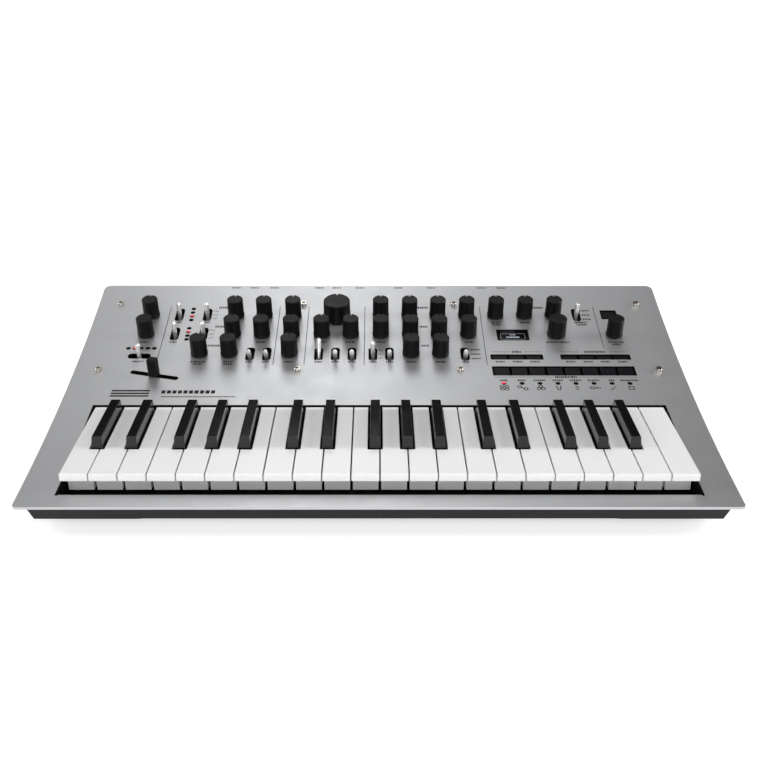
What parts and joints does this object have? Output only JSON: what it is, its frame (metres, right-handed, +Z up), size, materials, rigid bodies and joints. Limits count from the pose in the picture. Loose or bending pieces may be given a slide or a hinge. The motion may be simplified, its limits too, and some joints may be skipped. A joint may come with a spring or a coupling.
{
  "type": "keyboard synthesizer",
  "caption": "Compact desktop synthesizer: curved aluminium panel with knobs, levers and buttons above slim piano keys, wooden back with sockets.",
  "frame": {"origin": "centre of the footprint on the table, under the middle of the bounding box", "axes": "+X to the player's right along the keyboard, +Y towards the rear sockets, +Z up; the player sits at -Y"},
  "size_m": [0.5, 0.3, 0.0843],
  "materials": {
    "anodised_panel": "fine sand-blasted anodised",
    "case_plastic": "textured charcoal moulding",
    "rear_wood": "oiled reddish hardwood",
    "zinc_steel": "bright zinc",
    "foot_rubber": "matte",
    "frame_plastic": "matte black moulding",
    "board_green": "green solder mask",
    "pot_metal": "plated",
    "display_glass": "clear gloss over a dark display",
    "led_plastic": "smoked lens, four of them lit red",
    "socket_plastic": "matte black",
    "knob_plastic": "soft-touch black",
    "button_plastic": "satin black",
    "lever_chrome": "polished",
    "white_key_plastic": "satin white",
    "black_key_plastic": "satin black"
  },
  "bodies": {
    "housing": {"top_panel": "anodised_panel", "bottom_case": "case_plastic", "rear_panel": "rear_wood", "housing_screws": "zinc_steel", "rubber_feet": "foot_rubber", "key_frame": "frame_plastic", "key_contact_board": "board_green", "control_board": "board_green", "potentiometers": "pot_metal", "main_board": "board_green", "display_module": "display_glass", "led_lenses": "led_plastic", "rear_sockets": "socket_plastic"},
    "white_keys_1": {"white_keys_1": "white_key_plastic"},
    "black_keys_1": {"black_keys_1": "black_key_plastic"},
    "white_keys_2": {"white_keys_2": "white_key_plastic"},
    "black_keys_2": {"black_keys_2": "black_key_plastic"},
    "white_keys_3": {"white_keys_3": "white_key_plastic"},
    "black_keys_3": {"black_keys_3": "black_key_plastic"},
    "pitch_slider": {"pitch_slider": "knob_plastic"},
    "levers_osc1": {"levers_osc1": "lever_chrome"},
    "levers_osc2": {"levers_osc2": "lever_chrome"},
    "levers_lower_row": {"levers_lower_row": "lever_chrome"},
    "lever_filter_slope": {"lever_filter_slope": "lever_chrome"},
    "lever_lfo_wave": {"lever_lfo_wave": "lever_chrome"},
    "lever_output_routing": {"lever_output_routing": "lever_chrome"},
    "lever_keyboard_octave": {"lever_keyboard_octave": "lever_chrome"},
    "upper_strip_buttons": {"upper_strip_buttons": "button_plastic"},
    "function_buttons": {"function_buttons": "button_plastic"},
    "shift_button": {"shift_button": "button_plastic"},
    "power_button": {"power_button": "button_plastic"},
    "knob_master_volume": {"knob_master_volume": "knob_plastic"},
    "knob_tempo": {"knob_tempo": "knob_plastic"},
    "knob_osc1_pitch": {"knob_osc1_pitch": "knob_plastic"},
    "knob_osc1_shape": {"knob_osc1_shape": "knob_plastic"},
    "knob_osc2_pitch": {"knob_osc2_pitch": "knob_plastic"},
    "knob_osc2_shape": {"knob_osc2_shape": "knob_plastic"},
    "knob_cross_mod": {"knob_cross_mod": "knob_plastic"},
    "knob_pitch_mod": {"knob_pitch_mod": "knob_plastic"},
    "knob_mixer_osc1": {"knob_mixer_osc1": "knob_plastic"},
    "knob_mixer_osc2": {"knob_mixer_osc2": "knob_plastic"},
    "knob_mixer_noise": {"knob_mixer_noise": "knob_plastic"},
    "knob_filter_cutoff": {"knob_filter_cutoff": "knob_plastic"},
    "knob_filter_resonance": {"knob_filter_resonance": "knob_plastic"},
    "knob_filter_mod": {"knob_filter_mod": "knob_plastic"},
    "knob_amp_attack": {"knob_amp_attack": "knob_plastic"},
    "knob_amp_decay": {"knob_amp_decay": "knob_plastic"},
    "knob_amp_sustain": {"knob_amp_sustain": "knob_plastic"},
    "knob_amp_release": {"knob_amp_release": "knob_plastic"},
    "knob_mod_attack": {"knob_mod_attack": "knob_plastic"},
    "knob_mod_decay": {"knob_mod_decay": "knob_plastic"},
    "knob_mod_sustain": {"knob_mod_sustain": "knob_plastic"},
    "knob_mod_release": {"knob_mod_release": "knob_plastic"},
    "knob_lfo_rate": {"knob_lfo_rate": "knob_plastic"},
    "knob_lfo_depth": {"knob_lfo_depth": "knob_plastic"},
    "knob_delay_hipass": {"knob_delay_hipass": "knob_plastic"},
    "knob_delay_time": {"knob_delay_time": "knob_plastic"},
    "knob_delay_feedback": {"knob_delay_feedback": "knob_plastic"},
    "knob_voice_depth": {"knob_voice_depth": "knob_plastic"},
    "knob_program": {"knob_program": "knob_plastic"}
  },
  "joints": [
    {"name": "white_keys_1_press", "type": "hinge", "parent": "housing", "child": "white_keys_1", "pos_m": [0, -0.004, 0.026], "axis": [1, 0, 0], "range_deg": [0, 4.2], "stiffness_Nm_per_rad": 1.6, "springref_deg": -11.46},
    {"name": "black_keys_1_press", "type": "hinge", "parent": "housing", "child": "black_keys_1", "pos_m": [0, -0.004, 0.026], "axis": [1, 0, 0], "range_deg": [0, 4.2], "stiffness_Nm_per_rad": 1.1, "springref_deg": -11.46},
    {"name": "white_keys_2_press", "type": "hinge", "parent": "housing", "child": "white_keys_2", "pos_m": [0, -0.004, 0.026], "axis": [1, 0, 0], "range_deg": [0, 4.2], "stiffness_Nm_per_rad": 1.6, "springref_deg": -11.46},
    {"name": "black_keys_2_press", "type": "hinge", "parent": "housing", "child": "black_keys_2", "pos_m": [0, -0.004, 0.026], "axis": [1, 0, 0], "range_deg": [0, 4.2], "stiffness_Nm_per_rad": 1.1, "springref_deg": -11.46},
    {"name": "white_keys_3_press", "type": "hinge", "parent": "housing", "child": "white_keys_3", "pos_m": [0, -0.004, 0.026], "axis": [1, 0, 0], "range_deg": [0, 4.2], "stiffness_Nm_per_rad": 1.6, "springref_deg": -11.46},
    {"name": "black_keys_3_press", "type": "hinge", "parent": "housing", "child": "black_keys_3", "pos_m": [0, -0.004, 0.026], "axis": [1, 0, 0], "range_deg": [0, 4.2], "stiffness_Nm_per_rad": 1.1, "springref_deg": -11.46},
    {"name": "pitch_slide", "type": "slide", "parent": "housing", "child": "pitch_slider", "axis": [0.9715, -0.2312, -0.0513], "range_m": [-0.017, 0.017], "stiffness_N_per_m": 40},
    {"name": "levers_osc1_tilt", "type": "hinge", "parent": "housing", "child": "levers_osc1", "pos_m": [-0.16325, 0.1082, 0.05711], "axis": [1, 0, 0], "range_deg": [-27, 27]},
    {"name": "levers_osc2_tilt", "type": "hinge", "parent": "housing", "child": "levers_osc2", "pos_m": [-0.16325, 0.0802, 0.05022], "axis": [1, 0, 0], "range_deg": [-27, 27]},
    {"name": "levers_lower_row_tilt", "type": "hinge", "parent": "housing", "child": "levers_lower_row", "pos_m": [-0.02988, 0.0513, 0.04374], "axis": [1, 0, 0], "range_deg": [-54, 0]},
    {"name": "lever_filter_slope_tilt", "type": "hinge", "parent": "housing", "child": "lever_filter_slope", "pos_m": [-0.0505, 0.0513, 0.04374], "axis": [1, 0, 0], "range_deg": [0, 54]},
    {"name": "lever_lfo_wave_tilt", "type": "hinge", "parent": "housing", "child": "lever_lfo_wave", "pos_m": [-0.0049, 0.0513, 0.04374], "axis": [1, 0, 0], "range_deg": [-27, 27]},
    {"name": "lever_output_routing_tilt", "type": "hinge", "parent": "housing", "child": "lever_output_routing", "pos_m": [0.1745, 0.1082, 0.05711], "axis": [1, 0, 0], "range_deg": [-27, 27]},
    {"name": "lever_keyboard_octave_tilt", "type": "hinge", "parent": "housing", "child": "lever_keyboard_octave", "pos_m": [-0.2006, 0.0484, 0.04312], "axis": [0, 0.9763, 0.2164], "range_deg": [-27, 27], "stiffness_Nm_per_rad": 0.02},
    {"name": "upper_strip_buttons_press", "type": "slide", "parent": "housing", "child": "upper_strip_buttons", "axis": [0, 0.2164, -0.9763], "range_m": [0, 0.0008], "stiffness_N_per_m": 800, "springref_m": -0.0008},
    {"name": "function_buttons_press", "type": "slide", "parent": "housing", "child": "function_buttons", "axis": [0, 0.2164, -0.9763], "range_m": [0, 0.0008], "stiffness_N_per_m": 800, "springref_m": -0.0008},
    {"name": "shift_button_press", "type": "slide", "parent": "housing", "child": "shift_button", "axis": [0, 0.2164, -0.9763], "range_m": [0, 0.0008], "stiffness_N_per_m": 400, "springref_m": -0.0008},
    {"name": "power_button_press", "type": "slide", "parent": "housing", "child": "power_button", "axis": [0, -1, 0], "range_m": [0, 0.0018], "stiffness_N_per_m": 500, "springref_m": -0.001},
    {"name": "knob_master_volume_turn", "type": "hinge", "parent": "housing", "child": "knob_master_volume", "pos_m": [-0.2, 0.105, 0.06486], "axis": [0, -0.2164, 0.9763], "range_deg": [-150, 150]},
    {"name": "knob_tempo_turn", "type": "hinge", "parent": "housing", "child": "knob_tempo", "pos_m": [-0.2, 0.077, 0.05799], "axis": [0, -0.2164, 0.9763], "range_deg": [-150, 150]},
    {"name": "knob_osc1_pitch_turn", "type": "hinge", "parent": "housing", "child": "knob_osc1_pitch", "pos_m": [-0.1255, 0.105, 0.06486], "axis": [0, -0.2164, 0.9763], "range_deg": [-150, 150]},
    {"name": "knob_osc1_shape_turn", "type": "hinge", "parent": "housing", "child": "knob_osc1_shape", "pos_m": [-0.1005, 0.105, 0.06486], "axis": [0, -0.2164, 0.9763], "range_deg": [-150, 150]},
    {"name": "knob_osc2_pitch_turn", "type": "hinge", "parent": "housing", "child": "knob_osc2_pitch", "pos_m": [-0.1255, 0.077, 0.05799], "axis": [0, -0.2164, 0.9763], "range_deg": [-150, 150]},
    {"name": "knob_osc2_shape_turn", "type": "hinge", "parent": "housing", "child": "knob_osc2_shape", "pos_m": [-0.1005, 0.077, 0.05799], "axis": [0, -0.2164, 0.9763], "range_deg": [-150, 150]},
    {"name": "knob_cross_mod_turn", "type": "hinge", "parent": "housing", "child": "knob_cross_mod", "pos_m": [-0.1506, 0.0495, 0.05184], "axis": [0, -0.2164, 0.9763], "range_deg": [-150, 150]},
    {"name": "knob_pitch_mod_turn", "type": "hinge", "parent": "housing", "child": "knob_pitch_mod", "pos_m": [-0.1255, 0.0495, 0.05184], "axis": [0, -0.2164, 0.9763], "range_deg": [-150, 150]},
    {"name": "knob_mixer_osc1_turn", "type": "hinge", "parent": "housing", "child": "knob_mixer_osc1", "pos_m": [-0.075, 0.105, 0.06486], "axis": [0, -0.2164, 0.9763], "range_deg": [-150, 150]},
    {"name": "knob_mixer_osc2_turn", "type": "hinge", "parent": "housing", "child": "knob_mixer_osc2", "pos_m": [-0.075, 0.077, 0.05799], "axis": [0, -0.2164, 0.9763], "range_deg": [-150, 150]},
    {"name": "knob_mixer_noise_turn", "type": "hinge", "parent": "housing", "child": "knob_mixer_noise", "pos_m": [-0.075, 0.0495, 0.05184], "axis": [0, -0.2164, 0.9763], "range_deg": [-150, 150]},
    {"name": "knob_filter_cutoff_turn", "type": "hinge", "parent": "housing", "child": "knob_filter_cutoff", "pos_m": [-0.0365, 0.102, 0.06409], "axis": [0, -0.2164, 0.9763], "range_deg": [-150, 150]},
    {"name": "knob_filter_resonance_turn", "type": "hinge", "parent": "housing", "child": "knob_filter_resonance", "pos_m": [-0.049, 0.077, 0.05799], "axis": [0, -0.2164, 0.9763], "range_deg": [-150, 150]},
    {"name": "knob_filter_mod_turn", "type": "hinge", "parent": "housing", "child": "knob_filter_mod", "pos_m": [-0.024, 0.077, 0.05799], "axis": [0, -0.2164, 0.9763], "range_deg": [-150, 150]},
    {"name": "knob_amp_attack_turn", "type": "hinge", "parent": "housing", "child": "knob_amp_attack", "pos_m": [0.0018, 0.105, 0.06486], "axis": [0, -0.2164, 0.9763], "range_deg": [-150, 150]},
    {"name": "knob_amp_decay_turn", "type": "hinge", "parent": "housing", "child": "knob_amp_decay", "pos_m": [0.0271, 0.105, 0.06486], "axis": [0, -0.2164, 0.9763], "range_deg": [-150, 150]},
    {"name": "knob_amp_sustain_turn", "type": "hinge", "parent": "housing", "child": "knob_amp_sustain", "pos_m": [0.0518, 0.105, 0.06486], "axis": [0, -0.2164, 0.9763], "range_deg": [-150, 150]},
    {"name": "knob_amp_release_turn", "type": "hinge", "parent": "housing", "child": "knob_amp_release", "pos_m": [0.0771, 0.105, 0.06486], "axis": [0, -0.2164, 0.9763], "range_deg": [-150, 150]},
    {"name": "knob_mod_attack_turn", "type": "hinge", "parent": "housing", "child": "knob_mod_attack", "pos_m": [0.0018, 0.077, 0.05799], "axis": [0, -0.2164, 0.9763], "range_deg": [-150, 150]},
    {"name": "knob_mod_decay_turn", "type": "hinge", "parent": "housing", "child": "knob_mod_decay", "pos_m": [0.0271, 0.077, 0.05799], "axis": [0, -0.2164, 0.9763], "range_deg": [-150, 150]},
    {"name": "knob_mod_sustain_turn", "type": "hinge", "parent": "housing", "child": "knob_mod_sustain", "pos_m": [0.0518, 0.077, 0.05799], "axis": [0, -0.2164, 0.9763], "range_deg": [-150, 150]},
    {"name": "knob_mod_release_turn", "type": "hinge", "parent": "housing", "child": "knob_mod_release", "pos_m": [0.0771, 0.077, 0.05799], "axis": [0, -0.2164, 0.9763], "range_deg": [-150, 150]},
    {"name": "knob_lfo_rate_turn", "type": "hinge", "parent": "housing", "child": "knob_lfo_rate", "pos_m": [0.0271, 0.0495, 0.05184], "axis": [0, -0.2164, 0.9763], "range_deg": [-150, 150]},
    {"name": "knob_lfo_depth_turn", "type": "hinge", "parent": "housing", "child": "knob_lfo_depth", "pos_m": [0.0518, 0.0495, 0.05184], "axis": [0, -0.2164, 0.9763], "range_deg": [-150, 150]},
    {"name": "knob_delay_hipass_turn", "type": "hinge", "parent": "housing", "child": "knob_delay_hipass", "pos_m": [0.1028, 0.105, 0.06486], "axis": [0, -0.2164, 0.9763], "range_deg": [-150, 150]},
    {"name": "knob_delay_time_turn", "type": "hinge", "parent": "housing", "child": "knob_delay_time", "pos_m": [0.1283, 0.105, 0.06486], "axis": [0, -0.2164, 0.9763], "range_deg": [-150, 150]},
    {"name": "knob_delay_feedback_turn", "type": "hinge", "parent": "housing", "child": "knob_delay_feedback", "pos_m": [0.1535, 0.105, 0.06486], "axis": [0, -0.2164, 0.9763], "range_deg": [-150, 150]},
    {"name": "knob_voice_depth_turn", "type": "hinge", "parent": "housing", "child": "knob_voice_depth", "pos_m": [0.2028, 0.077, 0.05799], "axis": [0, -0.2164, 0.9763], "range_deg": [-150, 150]},
    {"name": "knob_program_turn", "type": "hinge", "parent": "housing", "child": "knob_program", "pos_m": [0.153, 0.077, 0.05799], "axis": [0, -0.2164, 0.9763], "continuous": true}
  ]
}
